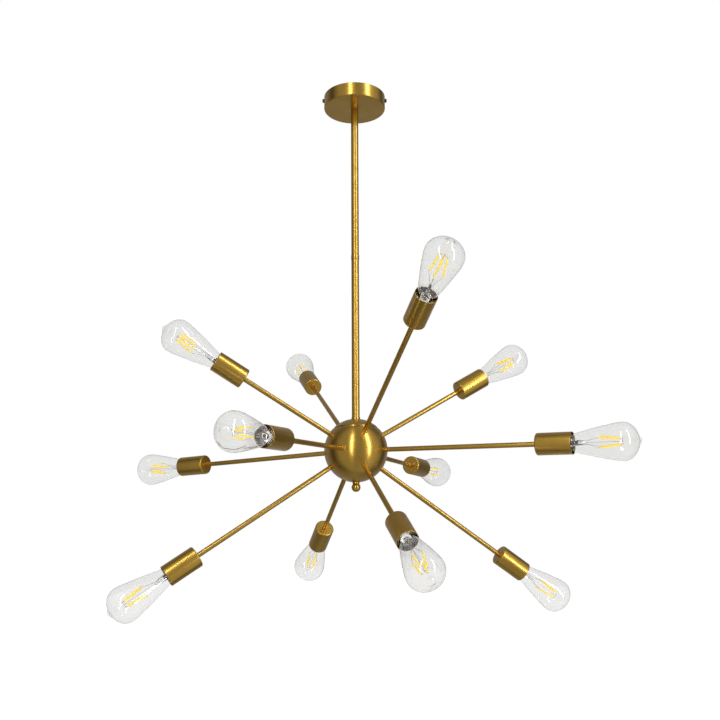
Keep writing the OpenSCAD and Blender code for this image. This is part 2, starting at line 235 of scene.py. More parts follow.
def threaded(surface: Surface, depth: float, low: float, high: float, reach: float) -> Surface:
    """Presses a round screw thread into an upright surface.

    Between two heights each point moves inwards by depth (1 - cos u) / 2, where u is a whole
    turn per pitch of height less the point's own angle, which makes a right-hand screw. The
    wave fades in and out over half a pitch, and only touches points beyond the reach.

    Args:
        surface: An upright surface.
        depth: How deep the thread is.
        low: Height where it starts.
        high: Height where it ends.
        reach: Points nearer the axis than this are left alone.

    Returns:
        The surface with its thread.
    """
    x, y, z = surface.points.T
    radius = np.hypot(x, y)
    wave = (1 - np.cos(2 * np.pi * z / THREAD_PITCH - np.arctan2(y, x))) / 2
    fade = THREAD_PITCH / 2
    share = np.clip((z - low) / fade, 0, 1) * np.clip((high - z) / fade, 0, 1)
    scale = 1 - depth * wave * share * (radius > reach) / np.maximum(radius, 1e-6)
    points = np.stack([x * scale, y * scale, z], axis=-1)
    return Surface(points, surface.quads, points.copy())


def wire(path: np.ndarray, radius: float | np.ndarray, sides: int = 8) -> Surface:
    """Carries a circle along a path and closes its ends.

    The circle lies in the plane of two directions across the path, both square to it: the
    first is square to a fixed direction too.

    Args:
        path: Array of points.
        radius: The wire's radius, or one for each point.
        sides: How many sides the wire has.

    Returns:
        The surface.
    """
    along = np.gradient(path, axis=0)
    along /= np.linalg.norm(along, axis=1, keepdims=True)
    fixed = np.array([0.31, 0.94, 0.12])
    first = np.cross(along, fixed)
    first /= np.linalg.norm(first, axis=1, keepdims=True)
    second = np.cross(along, first)
    angle = np.arange(sides) * 2 * np.pi / sides
    size = np.pad(np.broadcast_to(radius, len(path)).astype(float), 1)
    centre, first, second = (
        np.pad(a, ((1, 1), (0, 0)), mode="edge") for a in (path, first, second)
    )
    across = np.cos(angle)[:, None] * first[:, None] + np.sin(angle)[:, None] * second[:, None]
    return Surface.grid(centre[:, None] + size[:, None, None] * across)


def smooth_path(points: list[tuple[float, float, float]], count: int) -> np.ndarray:
    """A soft curve near some points.

    It is the polynomial whose weights at share t of its length are the chances of k heads in
    n throws, t being the chance of one, so it starts and ends at the outer points.

    Args:
        points: The points that pull the curve.
        count: How many points the curve gets.

    Returns:
        Array of points.
    """
    t = np.linspace(0.0, 1.0, count)[:, None]
    n = len(points) - 1
    order = np.arange(n + 1)
    ways = np.array([math.comb(n, k) for k in range(n + 1)])
    weight = ways * t**order * (1 - t) ** (n - order)
    return weight @ np.array(points, float)


# ---------------------------------------------------------------- shader sockets


class Socket:
    """One output of a shader node, so that shader maths reads as an expression."""

    def __init__(self, sheet: Sheet, socket: bpy.types.NodeSocket) -> None:
        """Keeps the sheet that the socket is on."""
        self.sheet = sheet
        self.socket = socket

    def __add__(self, other: Socket | float) -> Socket:
        """Sum."""
        return self.sheet.maths("ADD", self, other)

    def __radd__(self, other: float) -> Socket:
        """Sum with a number first."""
        return self.sheet.maths("ADD", other, self)

    def __mul__(self, other: Socket | float) -> Socket:
        """Product."""
        return self.sheet.maths("MULTIPLY", self, other)


Value = Socket | float | tuple


class Sheet:
    """The node sheet of one material."""

    def __init__(self, name: str) -> None:
        """Starts a material with an empty sheet."""
        self.material = bpy.data.materials.new(name)
        self.material.use_nodes = True
        self.tree = self.material.node_tree
        self.tree.nodes.clear()

    def node(
        self, kind: str, settings: dict[str, object], inputs: dict[str | int, Value]
    ) -> bpy.types.Node:
        """Adds a node.

        Args:
            kind: The node's type.
            settings: Its own settings; "stops" are the places and colours of a ramp.
            inputs: Numbers, colours or sockets for its inputs, by name or number.

        Returns:
            The node.
        """
        made = self.tree.nodes.new(kind)
        for name, setting in settings.items():
            if name == "stops":
                ramp = made.color_ramp
                while len(ramp.elements) < len(setting):
                    ramp.elements.new(0.5)
                for stop, (at, colour) in zip(ramp.elements, setting):
                    stop.position, stop.color = at, (*colour, 1.0)
            else:
                setattr(made, name, setting)
        for name, value in inputs.items():
            if isinstance(value, Socket):
                self.tree.links.new(value.socket, made.inputs[name])
            elif isinstance(value, tuple) and len(value) == 3 and made.inputs[name].type == "RGBA":
                made.inputs[name].default_value = (*value, 1.0)
            else:
                made.inputs[name].default_value = value
        return made

    def value(
        self,
        kind: str,
        settings: dict[str, object],
        inputs: dict[str | int, Value],
        output: str | int = 0,
    ) -> Socket:
        """Adds a node and gives one of its outputs."""
        return Socket(self, self.node(kind, settings, inputs).outputs[output])

    def maths(self, operation: str, first: Value, second: Value) -> Socket:
        """One step of arithmetic."""
        return self.value("ShaderNodeMath", {"operation": operation}, {0: first, 1: second})

    def noise(self, scale: float, stretch: tuple[float, float, float], detail: float = 2.0) -> Socket:
        """Cloudy noise from 0 to 1 on the upright coordinates, stretched along each axis."""
        where = self.value("ShaderNodeAttribute", {"attribute_name": "local"}, {}, "Vector")
        where = self.value("ShaderNodeVectorMath", {"operation": "MULTIPLY"}, {0: where, 1: stretch})
        return self.value(
            "ShaderNodeTexNoise", {}, {"Vector": where, "Scale": scale, "Detail": detail}, "Fac"
        )

    def ramp(self, share: Socket, stops: list[tuple[float, tuple[float, float, float]]]) -> Socket:
        """A colour for each value."""
        return self.value("ShaderNodeValToRGB", {"stops": stops}, {"Fac": share}, "Color")

    def blend(self, share: Value, low: Value, high: Value) -> Socket:
        """Goes from one colour to another."""
        return self.value(
            "ShaderNodeMix", {"data_type": "RGBA"}, {0: share, 6: low, 7: high}, 2
        )

    def finish(self, shader: Socket) -> bpy.types.Material:
        """Gives the sheet its shader and hands over the material."""
        self.node("ShaderNodeOutputMaterial", {}, {"Surface": shader})
        return self.material


class Brush(Enum):
    """Which way a metal's fine marks run, as a stretch of the upright coordinates."""

    AROUND = (0.012, 0.012, 1.0)
    ALONG = (1.0, 1.0, 0.004)
    EVEN = (1.0, 1.0, 1.0)


Colour = tuple[float, float, float]


@dataclass(frozen=True)
class Metal:
    """A brushed or plain metal, lacquered or bare.

    The spread draws its highlights out across marks that run round the upright axis.
    """

    name: str
    dark: Colour
    light: Colour
    roughness: float
    brush: Brush = Brush.EVEN
    grain: float = 2600.0
    depth: float = 0.012
    spread: float = 0.0
    lacquer: float = 0.0

    def material(self) -> bpy.types.Material:
        """Builds the finish.

        Fine noise, stretched along the marks, gives the grain in the colour, the roughness and
        the bump; slow noise clouds the colour and the roughness.

        Returns:
            The material.
        """
        sheet = Sheet(self.name)
        marks = sheet.noise(self.grain, self.brush.value, 3.0)
        cloud = sheet.noise(38.0, (1.0, 1.0, 1.0), 3.0)
        tone = marks * 0.3 + cloud * 0.4 + 0.15
        colour = sheet.ramp(tone, [(0.32, self.dark), (0.62, self.light)])
        rough = self.roughness - 0.02 + marks * 0.02 + cloud * 0.02
        bump = sheet.value(
            "ShaderNodeBump", {}, {"Strength": self.depth, "Distance": 0.0002, "Height": marks}, "Normal"
        )
        shader = sheet.value(
            "ShaderNodeBsdfPrincipled",
            {},
            {
                "Base Color": colour,
                "Metallic": 1.0,
                "Roughness": rough,
                "Anisotropic": self.spread,
                "Anisotropic Rotation": 0.25,
                "Coat Weight": self.lacquer,
                "Coat Roughness": 0.14,
                "Normal": bump,
            },
        )
        return sheet.finish(shader)


@dataclass(frozen=True)
class Moulding:
    """Moulded plastic or rubber with a fine skin."""

    name: str
    colour: Colour
    roughness: float = 0.45

    def material(self) -> bpy.types.Material:
        """Builds the finish: a slightly uneven colour over a fine moulded skin."""
        sheet = Sheet(self.name)
        skin = sheet.noise(900.0, (1.0, 1.0, 1.0), 3.0)
        cloud = sheet.noise(60.0, (1.0, 1.0, 1.0), 2.0)
        darker = tuple(0.82 * part for part in self.colour)
        bump = sheet.value(
            "ShaderNodeBump", {}, {"Strength": 0.08, "Distance": 0.0002, "Height": skin}, "Normal"
        )
        shader = sheet.value(
            "ShaderNodeBsdfPrincipled",
            {},
            {
                "Base Color": sheet.blend(cloud, darker, self.colour),
                "Roughness": self.roughness - 0.06 + skin * 0.12,
                "Normal": bump,
            },
        )
        return sheet.finish(shader)


@dataclass(frozen=True)
class ClearGlass:
    """Blown glass."""

    name: str
    colour: Colour = (0.89, 0.89, 0.885)
    ripple: float = 0.01

    def material(self) -> bpy.types.Material:
        """Builds the finish: clear, with the faint ripple of blown glass."""
        sheet = Sheet(self.name)
        slow = sheet.noise(55.0, (1.0, 1.0, 0.5), 1.0)
        bump = sheet.value(
            "ShaderNodeBump", {}, {"Strength": self.ripple, "Distance": 0.002, "Height": slow}, "Normal"
        )
        shader = sheet.value(
            "ShaderNodeBsdfPrincipled",
            {},
            {
                "Base Color": self.colour,
                "Roughness": 0.0,
                "IOR": 1.5,
                "Transmission Weight": 1.0,
                "Normal": bump,
            },
        )
        return sheet.finish(shader)


@dataclass(frozen=True)
class Coating:
    """The soft coating of a filament, with a faint painted glow that brightens the unlit sticks."""

    name: str
    pale: Colour
    deep: Colour
    painted_glow: float

    def material(self) -> bpy.types.Material:
        """Builds the finish: a finely mottled coating with a faint painted glow."""
        sheet = Sheet(self.name)
        grain = sheet.noise(700.0, (1.0, 1.0, 0.7), 2.0)
        colour = sheet.blend(grain, self.deep, self.pale)
        shader = sheet.value(
            "ShaderNodeBsdfPrincipled",
            {},
            {
                "Base Color": colour,
                "Roughness": 0.42,
                # painted glow: the unlit sticks shine a little so that they read brighter
                "Emission Color": colour,
                "Emission Strength": self.painted_glow,
            },
        )
        return sheet.finish(shader)


class Finishes:
    """Every finish of the lamp, built once."""

    def __init__(self) -> None:
        """Builds them."""
        dark, light = (0.53, 0.318, 0.046), (0.64, 0.392, 0.062)
        brass = {"dark": dark, "light": light, "lacquer": 0.55}
        self.tube_brass = Metal(
            "tube_brass", roughness=0.34, brush=Brush.ALONG, depth=0.0, **brass
        ).material()
        self.cup_brass = Metal(
            "cup_brass", roughness=0.30, brush=Brush.AROUND, depth=0.0, **brass
        ).material()
        self.screw_brass = Metal(
            "screw_brass", (0.12, 0.075, 0.02), (0.20, 0.12, 0.03), 0.4, Brush.AROUND
        ).material()
        self.turned_brass = Metal(
            "turned_brass", roughness=0.30, brush=Brush.AROUND, spread=0.5, **brass
        ).material()
        self.ball_brass = Metal(
            "ball_brass", roughness=0.30, brush=Brush.AROUND, grain=1800.0, spread=0.75, **brass
        ).material()
        self.zinc = Metal("zinc_steel", (0.50, 0.50, 0.52), (0.62, 0.62, 0.63), 0.34).material()
        self.contact = Metal(
            "contact_metal", (0.60, 0.46, 0.20), (0.74, 0.60, 0.30), 0.28
        ).material()
        self.nickel = Metal("bulb_cap", (0.74, 0.70, 0.62), (0.88, 0.84, 0.76), 0.24).material()
        self.lead_metal = Metal("lead_metal", (0.22, 0.21, 0.20), (0.42, 0.41, 0.40), 0.30).material()
        # holder colour: dark plastic lifted to brown, a painted reflection of brass that stands in for
        # light inside the sockets
        self.holder = Moulding("holder_plastic", (0.16, 0.12, 0.08), 0.36).material()
        self.block = Moulding("block_plastic", (0.72, 0.70, 0.64), 0.45).material()
        self.cover = Moulding("wire_cover", (0.03, 0.03, 0.032), 0.5).material()
        self.connector = Moulding("connector_plastic", (0.70, 0.26, 0.05), 0.4).material()
        self.glass = ClearGlass("bulb_glass").material()
        self.mount_glass = ClearGlass("mount_glass", (0.98, 0.98, 0.98), 0.04).material()
        self.insulator = Moulding("cap_insulator", (0.02, 0.02, 0.03), 0.12).material()
        # filament: a yellow coating, plus a painted glow of 0.42 that brightens the unlit sticks
        self.filament = Coating("filament", (0.96, 0.77, 0.15), (0.90, 0.60, 0.04), 0.42).material()


def piece(
    name: str,
    surface: Surface,
    material: bpy.types.Material,
    body: str,
    replaces: tuple[str, ...] = (),
    crease: float = 40.0,
) -> bpy.types.Object:
    """Makes a surface a piece of the lamp.

    Args:
        name: The piece's name.
        surface: Its surface, in place.
        material: Its finish.
        body: The body that it moves with.
        replaces: The solids that it stands for.
        crease: Edges sharper than this many degrees stay sharp.

    Returns:
        The object.
    """
    kept, faces = surface.faces()
    mesh = bpy.data.meshes.new(name)
    mesh.from_pydata(surface.points[kept].tolist(), [], faces)
    local = mesh.attributes.new("local", "FLOAT_VECTOR", "POINT")
    local.data.foreach_set("vector", surface.local[kept].astype(np.float32).ravel())
    mesh.polygons.foreach_set("use_smooth", np.ones(len(mesh.polygons), bool))
    mesh.set_sharp_from_angle(angle=math.radians(crease))
    mesh.materials.append(material)
    made = bpy.data.objects.new(name, mesh)
    bpy.context.scene.collection.objects.link(made)
    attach(made, body)
    if replaces:
        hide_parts(*replaces)
    LOG.info("%s: %d faces, moves with %s", name, len(faces), body)
    return made


# ---------------------------------------------------------------- sub-assemblies


@dataclass
class Canopy:
    """The spun cup against the ceiling and its two side screws."""

    finishes: Finishes
    radius: float = 62.5 * MM
    height: float = 27 * MM
    wall: float = 1.4 * MM
    edge: float = 2.4 * MM
    hole: float = 5.1 * MM
    screw_drop: float = 7 * MM
    head_radius: float = 4 * MM
    head_height: float = 3.6 * MM

    def cup(self) -> Surface:
        """The spun cup, its lower edge a quarter circle and its rim a rolled one."""
        turn = np.linspace(-np.pi / 2, 0, 12)
        low = -self.height
        outer = np.stack(
            [
                self.radius - self.edge + self.edge * np.cos(turn),
                low + self.edge + self.edge * np.sin(turn),
            ],
            axis=-1,
        )
        inner_edge = self.edge - self.wall
        inner = np.stack(
            [
                self.radius - self.edge + inner_edge * np.cos(turn[::-1]),
                low + self.edge + inner_edge * np.sin(turn[::-1]),
            ],
            axis=-1,
        )
        rim = rounded(
            [
                (self.radius, -1 * MM), (self.radius, 0),
                (self.radius - self.wall, 0), (self.radius - self.wall, -1 * MM),
            ],
            0.4 * MM,
            loop=False,
        )
        hole = rounded(
            [
                (self.hole + 1 * MM, low + self.wall),
                (self.hole, low + self.wall),
                (self.hole, low),
                (self.hole + 1 * MM, low),
            ],
            0.3 * MM,
            loop=False,
        )
        return turned(np.concatenate([outer, rim, inner, hole]), 128)

    def screw(self) -> Surface:
        """A screw's head with its rounded crown, and its shank."""
        r, h = self.head_radius, self.head_height
        crown = [(0.0, h), (r * 0.6, h), (r, h - 0.7 * MM), (r, 0.5 * MM), (r - 0.5 * MM, 0.0)]
        shank = [(1.95 * MM, 0.0), (1.95 * MM, -7.5 * MM), (0.0, -8.2 * MM)]
        outline = rounded((crown + shank)[::-1], 0.35 * MM, loop=False)
        return turned(outline, 32, loop=False)

    def build(self) -> None:
        """Makes the canopy's pieces."""
        f = self.finishes
        piece("canopy_cup", self.cup(), f.turned_brass, FIXTURE, ("canopy",))
        start = self.radius + FIT
        sides = (1.0, -1.0)
        screws = [
            self.screw().moved(Place((side * start, 0, -self.screw_drop), (side, 0, 0)))
            for side in sides
        ]
        piece(
            "canopy_side_screws", Surface.joined(screws), f.screw_brass, FIXTURE,
            ("canopy_screws",),
        )


@dataclass
class Stem:
    """The two tubes, the collar between them and the bushing on the hub."""

    finishes: Finishes
    radius: float = 7.5 * MM
    collar_radius: float = 8.0 * MM
    collar_height: float = 9 * MM
    bushing_radius: float = 8.25 * MM
    bore: float = 5.1 * MM
    rod_radius: float = 5.0 * MM
    rod_bore: float = 3.5 * MM

    def build(self) -> None:
        """Makes the stem's pieces, each as high as its solid."""
        f = self.finishes
        for node in ("stem_upper", "stem_lower"):
            low, high = (corner.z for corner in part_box(node))
            tube = self.ring(self.radius, low, high, 0.25 * MM)
            piece(f"{node}_tube", tube, f.tube_brass, FIXTURE, (node,))
        low, high = (corner.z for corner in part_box("stem_coupler"))
        grip = (high - low - self.collar_height) / 2
        bore, rod, out = self.rod_bore, self.rod_radius, self.collar_radius
        collar = rounded(
            [
                (bore, low), (rod, low), (rod, low + grip), (out, low + grip),
                (out, high - grip), (rod, high - grip), (rod, high), (bore, high),
            ],
            0.5 * MM,
        )
        ring = turned(collar, 96)
        piece("stem_collar", ring, f.turned_brass, FIXTURE, ("stem_coupler",))
        low, high = (corner.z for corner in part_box("hub_bushing"))
        bushing = self.ring(self.bushing_radius, low, high, 0.6 * MM)
        piece("stem_bushing", bushing, f.turned_brass, FIXTURE, ("hub_bushing",))

    def ring(self, radius: float, low: float, high: float, edge: float) -> Surface:
        """A straight ring with softened edges."""
        corners = [(self.bore, low), (radius, low), (radius, high), (self.bore, high)]
        return turned(rounded(corners, edge), 96)


@dataclass
class Hub:
    """The ball of a cap and a bowl, and the finial under it.

    The seam is a height above the ball's centre, and the groove is half as high as it shows.
    """

    finishes: Finishes
    radius: float = 60 * MM
    wall: float = 1.5 * MM
    hole: float = 5.1 * MM
    seat_radius: float = 8.65 * MM
    seam: float = 60 * MM * math.sin(math.radians(45))
    groove: float = 0.9 * MM
    neck_radius: float = 6.7 * MM
    neck_height: float = 3.2 * MM
    finial_radius: float = 8.5 * MM
    centre: float = field(init=False)

    def __post_init__(self) -> None:
        """Finds the ball's centre from its seam, which is the bowl's top."""
        self.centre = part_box("hub_bowl")[1].z - self.seam

    def shell(self, low: float, high: float) -> np.ndarray:
        """The half outline of the shell between two heights, sinking a little at the seam.

        Args:
            low: Sine of the lower latitude times the radius.
            high: The same for the upper one.

        Returns:
            Array of radius and height about the ball's centre.
        """
        inner = self.radius - self.wall
        reach = math.sqrt(inner**2 - self.hole**2)
        a = np.linspace(math.asin(low / self.radius), math.asin(high / self.radius), 72)
        ends = (math.asin(np.clip(z, -reach, reach) / inner) for z in (high, low))
        b = np.linspace(*ends, 48)
        from_edge = np.abs(self.radius * np.sin(a) - self.seam) - self.groove
        sunk = 0.5 * MM * np.clip(1 - from_edge / (0.9 * MM), 0, 1) ** 2
        outer = (self.radius - sunk)[:, None] * np.stack([np.cos(a), np.sin(a)], axis=-1)
        inside = np.stack([inner * np.cos(b), inner * np.sin(b)], axis=-1)
        top = [(self.hole, high)] if high > reach else []
        bottom = [(self.hole, low)] if low < -reach else []
        parts = [outer, np.array(top).reshape(-1, 2), inside, np.array(bottom).reshape(-1, 2)]
        return np.concatenate(parts)

    def lip(self) -> Surface:
        """The ring inside the cap that drops into the bowl, behind the seam's groove."""
        outside = math.sqrt((self.radius - self.wall) ** 2 - self.seam**2) - 0.3 * MM
        inside = outside - 1.4 * MM
        low, high = self.seam - 5 * MM, self.seam + 1.2 * MM
        corners = [(inside, low), (outside, low), (outside, high), (inside, high)]
        return turned(rounded(corners, 0.2 * MM), 192)

    def build(self) -> None:
        """Makes the hub's pieces."""
        f = self.finishes
        seat = math.sqrt(self.radius**2 - self.seat_radius**2)
        up = Place((0, 0, self.centre))
        cap = [turned(self.shell(self.seam + self.groove, seat), 192), self.lip()]
        bowl = [turned(self.shell(-seat, self.seam - self.groove), 192)]
        shown = {"hub_cap": ("hub_ball_cap", cap), "hub_bowl": ("hub_ball_bowl", bowl)}
        for node, (name, parts) in shown.items():
            ball = Surface.joined(parts).moved(up)
            piece(name, ball, f.ball_brass, FIXTURE, (node,), crease=50.0)
        finial = turned(self.finial(-seat), 96, loop=False).moved(up)
        piece("finial_ball", finial, f.turned_brass, FIXTURE, ("finial",))

    def finial(self, top: float) -> np.ndarray:
        """The half outline of the finial, a ball with a neck up to the given height."""
        neck, bulge = self.neck_radius, self.finial_radius
        base = top - self.neck_height
        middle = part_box("finial")[0].z - self.centre + bulge
        start = math.asin((base - middle) / bulge)
        a = np.linspace(-np.pi / 2, start, 40)
        ball = np.stack([bulge * np.cos(a), middle + bulge * np.sin(a)], axis=-1)
        corners = [(ball[-1, 0], base), (neck, base), (neck, top), (0, top)]
        return np.concatenate([ball, rounded(corners, 0.5 * MM, loop=False)])


@dataclass
class Arm:
    """One arm tube with its cup and lamp holder.

    Its heights are along the arm, from the outside of the cup's closed end.
    """

    axis: tuple[float, float, float]
    centre: tuple[float, float, float]
    reach: float
    tube_radius: float = 4.5 * MM
    tube_wall: float = 1 * MM
    hub_radius: float = 60 * MM
    cup_radius: float = 19.25 * MM
    cup_length: float = 62 * MM
    cup_wall: float = 1 * MM
    floor: float = 1.5 * MM
    boss_foot: float = 6 * MM
    boss_radius: float = 7 * MM
    holder_foot: float = 12 * MM
    holder_top: float = 54 * MM
    holder_radius: float = 16.5 * MM
    well_floor: float = 24 * MM
    well_radius: float = 11.75 * MM
    contact_foot: float = 27 * MM
    sleeve_foot: float = 31 * MM
    sleeve_top: float = 53.5 * MM
    sleeve_inside: float = 13.35 * MM
    sleeve_outside: float = 13.75 * MM

    def at(self, distance: float) -> Place:
        """A place on the arm, by its distance from the hub's centre."""
        foot = np.array(self.centre) + np.array(self.axis) * distance
        return Place(tuple(foot), self.axis)

    def tube(self) -> Surface:
        """The arm's tube, from inside the hub into the cup."""
        low, high = self.hub_radius - 10 * MM, self.reach + 10 * MM
        r, s = self.tube_radius, self.tube_radius - self.tube_wall
        outline = rounded([(s, low), (r, low), (r, high), (s, high)], 0.2 * MM)
        return turned(outline, 48)

    def cup(self) -> Surface:
        """The lamp cup: a drawn cylinder with a rounded bottom edge and a softened rim."""
        r, s, h = self.cup_radius, self.cup_radius - self.cup_wall, self.cup_length
        turn = np.linspace(-np.pi / 2, 0, 12)
        edge, inner = 2.2 * MM, 0.9 * MM
        outer = np.stack([r - edge + edge * np.cos(turn), edge + edge * np.sin(turn)], axis=-1)
        rim = rounded([(r, h - 2 * MM), (r, h), (s, h), (s, h - 2 * MM)], 0.35 * MM, loop=False)
        back = turn[::-1]
        inside = np.stack(
            [s - inner + inner * np.cos(back), self.floor + inner + inner * np.sin(back)], axis=-1
        )
        hole = rounded(
            [
                (self.tube_radius + 1 * MM, self.floor), (self.tube_radius + FIT, self.floor),
                (self.tube_radius + FIT, 0.0), (self.tube_radius + 1 * MM, 0.0),
            ],
            0.25 * MM,
            loop=False,
        )
        return turned(np.concatenate([outer, rim, inside, hole]), 96)

    def holder(self) -> Surface:
        """The holder's insulating body, with a stepped mouth for the screw shell."""
        r, low, high = self.holder_radius, self.holder_foot, self.holder_top
        hole, mouth = self.tube_radius + FIT, self.sleeve_outside + 0.6 * MM
        outline = rounded(
            [
                (hole, self.boss_foot), (self.boss_radius, self.boss_foot),
                (self.boss_radius, low), (r, low), (r, high),
                (mouth, high), (mouth, self.sleeve_foot), (self.well_radius, self.sleeve_foot),
                (self.well_radius, self.well_floor), (hole, self.well_floor),
            ],
            0.7 * MM,
        )
        return turned(outline, 64)

    def shell(self) -> Surface:
        """The thin sleeve in the holder that takes the bulb's cap."""
        steps = np.linspace(self.sleeve_foot, self.sleeve_top, 64)
        outline = np.concatenate(
            [
                np.stack([0 * steps + self.sleeve_outside, steps], axis=-1),
                np.stack([0 * steps + self.sleeve_inside, steps[::-1]], axis=-1),
            ]
        )
        return turned(outline, 64)

    def contact(self) -> Surface:
        """The centre contact, a low sprung dome."""
        low, high, r = self.contact_foot, BULB_SEAT - 0.4 * MM, 4 * MM
        corners = [(0, low), (r, low), (r, high - 0.4 * MM), (0, high)]
        return turned(rounded(corners, 0.5 * MM, loop=False), 32, loop=False)


@dataclass
class Arms:
    """All twelve arms, made as a few pieces that stand for their shared solids."""

    finishes: Finishes
    arms: list[Arm]

    def build(self) -> None:
        """Makes the arms' pieces."""
        f = self.finishes
        middle = (max(arm.reach for arm in self.arms) + min(arm.reach for arm in self.arms)) / 2
        for name, wanted in (("long_arms", True), ("short_arms", False)):
            tubes = [
                arm.tube().moved(arm.at(0.0))
                for arm in self.arms
                if (arm.reach > middle) == wanted
            ]
            piece(f"{name}_tubes", Surface.joined(tubes), f.tube_brass, FIXTURE, (name,))
        made = {
            "cups": ("lamp_cups", Arm.cup, f.cup_brass, "brass"),
            "lamp_holders": ("holder_bodies", Arm.holder, f.holder, "holder_plastic"),
            "holder_shells": ("holder_sleeves", Arm.shell, f.contact, "contact_metal"),
            "holder_contacts": ("holder_springs", Arm.contact, f.contact, "contact_metal"),
        }
        for node, (name, shape, material, slot) in made.items():
            parts = [shape(arm).moved(arm.at(arm.reach)) for arm in self.arms]
            piece(name, Surface.joined(parts), material, FIXTURE, (node,))


@dataclass
class Bulb:
    """One pear-shaped filament bulb, upright from the end of its centre contact."""

    finishes: Finishes
    number: int
    place: Place
    glass_radius: float = 32 * MM
    neck_radius: float = 13.5 * MM
    base_radius: float = 12.95 * MM
    base_length: float = 27 * MM
    length: float = 146 * MM
    dome: float = 26 * MM
    tip_spread: float = 9.9 * MM
    tip_height: float = 4 * MM
    glass_wall: float = 1.0 * MM
    filament_radius: float = 1.75 * MM
    filament_length: float = 35.5 * MM
    filament_low: float = 11.8 * MM
    filament_high: float = 7.2 * MM
    filament_start: float = 77 * MM
    mount_top: float = 55 * MM

    @property
    def name(self) -> str:
        """The start of its pieces' names."""
        return f"bulb_{self.number:02d}"

    def cap(self) -> Surface:
        """The screw cap: a rim at the glass, five turns of thread and a shoulder."""
        r, wall, top = self.base_radius, 0.35 * MM, self.base_length
        steps = np.linspace(7.5 * MM, top - 3.2 * MM, 72)
        outline = np.concatenate(
            [
                np.array([(5.2, 2.6), (8.6, 4.4), (11.2, 5.6), (12.4, 6.4)]) * MM,
                np.stack([0 * steps + r, steps], axis=-1),
                np.array([(r, top - 2.2 * MM), (r, top), (r - wall, top)]),
                np.array([(r - wall, top - 8.8 * MM), (5.2 * MM, top - 9 * MM)]),
            ]
        )
        return threaded(
            turned(outline, 96), 0.75 * MM, 7.5 * MM, top - 3.2 * MM, 11.8 * MM
        )

    def insulator(self) -> Surface:
        """The dark glass disc between the cap and its contact."""
        corners = np.array([(3.9, 1.2), (5.4, 1.9), (9.0, 4.3), (3.9, 4.6)]) * MM
        return turned(rounded(corners, 0.3 * MM), 48)

    def button(self) -> Surface:
        """The solder button of the centre contact."""
        corners = np.array([(0, 0), (3.2, 0), (4.2, 1.3), (0, 3.0)]) * MM
        return turned(rounded(corners, 0.7 * MM, loop=False), 32, loop=False)

    def envelope(self, inset: float, start: float) -> np.ndarray:
        """The half outline of the glass from its foot to its tip.

        At share u of its height the flare has gone 0.55 u + 0.45 sin(90 u) of the way from
        the neck to the belly, and a little more where it eases into the quarter ellipse above
        it. The sealed tip is a soft rise in the middle of that.

        Args:
            inset: Distance inwards from the outside.
            start: Height where the outline starts, inside the cap.

        Returns:
            Array of radius and height, upwards.
        """
        foot = self.base_radius - 0.65 * MM - inset
        flare_low = self.base_length + 0.3 * MM
        wide = self.length - self.tip_height - self.dome
        u = np.linspace(0.0, 1.0, 44)
        ease = (1 - np.cos(np.pi * np.clip((u - 0.7) / 0.3, 0, 1))) / 2
        swell = 0.55 * u + 0.45 * np.sin(np.pi / 2 * u) + 0.33 * ease * (1 - u)
        radius = self.neck_radius + (self.glass_radius - self.neck_radius) * swell - inset
        blend = np.clip(u / 0.03, 0, 1)
        flare = np.stack([foot + (radius - foot) * blend, flare_low + u * (wide - flare_low)], axis=-1)
        a = np.linspace(0.0, np.pi / 2, 34)[1:]
        high = self.dome - inset
        dome = np.stack([(self.glass_radius - inset) * np.cos(a), wide + high * np.sin(a)], axis=-1)
        share = 1 - np.clip(dome[:, 0] / self.tip_spread, 0, 1)
        dome[:, 1] += self.tip_height * (3 * share**2 - 2 * share**3)
        start_line = np.array([(foot, start)])
        return np.concatenate([start_line, flare, dome])

    def glass(self) -> Surface:
        """The blown envelope with its wall."""
        start = self.base_length - 8 * MM
        outer = self.envelope(0.0, start)
        inner = self.envelope(self.glass_wall, start)[::-1]
        return turned(np.concatenate([outer, inner]), 96)

    def mount(self) -> Surface:
        """The glass mount: a flared foot, a stem and a flat pinch round its wires."""
        foot, top = self.base_length - 6 * MM, self.mount_top
        heights = foot + (top - foot) * np.array([0, 0.02, 0.12, 0.26, 0.45, 0.62, 0.8, 0.93, 1.0])
        radii = np.array([10.6, 10.8, 8.2, 6.4, 5.3, 4.7, 3.8, 3.2, 2.4]) * MM
        fine = np.linspace(foot, top, 40)
        outline = np.stack([np.interp(fine, heights, radii), fine], axis=-1)
        outline = np.concatenate([[(0.0, foot)], outline, [(0.0, top + 0.4 * MM)]])
        surface = turned(outline, 40, loop=False)
        x, y, z = surface.points.T
        flat = 1 - 0.55 * np.clip((z - foot) / (top - foot) * 1.6 - 0.5, 0, 1)
        points = np.stack([x, y * flat, z], axis=-1)
        return Surface(points, surface.quads, points.copy())

    def ends(self) -> tuple[np.ndarray, np.ndarray]:
        """Both ends of the four filaments, near the base and near the tip."""
        angle = np.radians(57 + 90 * np.arange(4))
        rise = math.sqrt(self.filament_length**2 - (self.filament_low - self.filament_high) ** 2)
        spread = np.stack([np.cos(angle), np.sin(angle), 0 * angle], axis=-1)
        low = spread * self.filament_low + [0, 0, self.filament_start]
        high = spread * self.filament_high + [0, 0, self.filament_start + rise]
        return low, high

    def filaments(self) -> Surface:
        """The four coated sticks, each a wire with slightly domed ends."""
        low, high = self.ends()
        share = np.linspace(0.0, 1.0, 14)
        swell = self.filament_radius * np.minimum(1.0, 0.55 + np.minimum(share, 1 - share) * 9)
        sticks = [
            wire(a + share[:, None] * (b - a), swell, 12) for a, b in zip(low, high)
        ]
        return Surface.joined(sticks)

